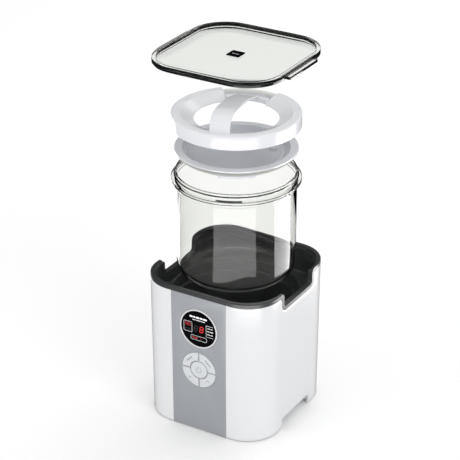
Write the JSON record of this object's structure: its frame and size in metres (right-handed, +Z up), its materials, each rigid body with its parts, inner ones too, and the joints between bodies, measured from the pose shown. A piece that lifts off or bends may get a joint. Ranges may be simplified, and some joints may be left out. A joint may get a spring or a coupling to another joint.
{
  "type": "yoghurt maker",
  "caption": "Electric yoghurt maker drawn lifted apart: rounded-square heating base with control panel, glass jar, dished inner lid, ring lid with strap and clear dust cover.",
  "frame": {"origin": "on the ground under the centre of the base", "axes": "+Z up along the axis of the jar, the control panel faces -Y, the hand recesses face +X and -X"},
  "size_m": [0.1756, 0.1765, 0.4632],
  "materials": {
    "white_shell": "glossy white ABS",
    "panel_grey": "satin grey panel film",
    "button_grey": "satin light grey keys",
    "lid_grey": "satin light grey polypropylene",
    "charcoal": "fine matt charcoal polypropylene",
    "glass_clear": "clear pressed glass",
    "cover_clear": "clear polystyrene",
    "display_black": "gloss black lens",
    "rubber_black": "matt rubber",
    "silicone": "translucent white silicone",
    "board_green": "solder mask",
    "component_dark": "moulded component bodies",
    "aluminium": "brushed sheet",
    "steel": "zinc-plated steel",
    "felt": "needle felt"
  },
  "bodies": {
    "base": {"outer_shell": "white_shell", "inner_liner": "charcoal", "base_plate": "button_grey", "power_inlet": "display_black", "foot_1": "rubber_black", "foot_2": "rubber_black", "foot_3": "rubber_black", "foot_4": "rubber_black", "base_screw_1": "steel", "base_screw_2": "steel", "base_screw_3": "steel", "base_screw_4": "steel", "front_panel": "panel_grey", "display_bezel": "white_shell", "display_window": "display_black", "digit_module": "component_dark", "keypad_sheet": "silicone", "control_board": "board_green", "heater_plate": "aluminium", "heater_element": "component_dark", "temperature_sensor": "steel", "thermal_fuse": "silicone", "insulation_sleeve": "felt", "power_board": "board_green", "transformer": "component_dark", "capacitor": "display_black", "relay": "component_dark"},
    "jar": {"jar": "glass_clear"},
    "inner_lid": {"inner_lid": "lid_grey", "lid_seal": "silicone"},
    "vent_plug": {"vent_plug": "silicone"},
    "ring_gasket": {"ring_gasket": "silicone"},
    "ring_lid": {"ring_lid": "white_shell", "ring_handle": "white_shell"},
    "dust_cover": {"dust_cover": "cover_clear", "cover_badge": "display_black"},
    "button_power": {"button_power": "button_grey"},
    "button_timer": {"button_timer": "button_grey"},
    "button_mode": {"button_mode": "button_grey"},
    "button_down": {"button_down": "button_grey"},
    "button_up": {"button_up": "button_grey"}
  },
  "joints": [
    {"name": "jar_lift", "type": "slide", "parent": "base", "child": "jar", "axis": [0, 0, 1], "range_m": [-0.1579, 0]},
    {"name": "inner_lid_lift", "type": "slide", "parent": "jar", "child": "inner_lid", "axis": [0, 0, 1], "range_m": [-0.0264, 0]},
    {"name": "vent_plug_pull", "type": "slide", "parent": "inner_lid", "child": "vent_plug", "axis": [0, 0, 1], "range_m": [0, 0.006]},
    {"name": "ring_lift", "type": "slide", "parent": "inner_lid", "child": "ring_gasket", "axis": [0, 0, 1], "range_m": [-0.038, 0]},
    {"name": "ring_turn", "type": "hinge", "parent": "ring_gasket", "child": "ring_lid", "pos_m": [0, 0, 0.38], "axis": [0, 0, 1], "range_deg": [-60, 0]},
    {"name": "cover_lift", "type": "slide", "parent": "ring_gasket", "child": "dust_cover", "axis": [0, 0, 1], "range_m": [-0.0476, 0]},
    {"name": "press_power", "type": "slide", "parent": "base", "child": "button_power", "axis": [0, 1, 0], "range_m": [0, 0.0005], "stiffness_N_per_m": 1500},
    {"name": "press_timer", "type": "slide", "parent": "base", "child": "button_timer", "axis": [0, 1, 0], "range_m": [0, 0.0005], "stiffness_N_per_m": 1500},
    {"name": "press_mode", "type": "slide", "parent": "base", "child": "button_mode", "axis": [0, 1, 0], "range_m": [0, 0.0005], "stiffness_N_per_m": 1500},
    {"name": "press_down", "type": "slide", "parent": "base", "child": "button_down", "axis": [0, 1, 0], "range_m": [0, 0.0005], "stiffness_N_per_m": 1500},
    {"name": "press_up", "type": "slide", "parent": "base", "child": "button_up", "axis": [0, 1, 0], "range_m": [0, 0.0005], "stiffness_N_per_m": 1500}
  ]
}
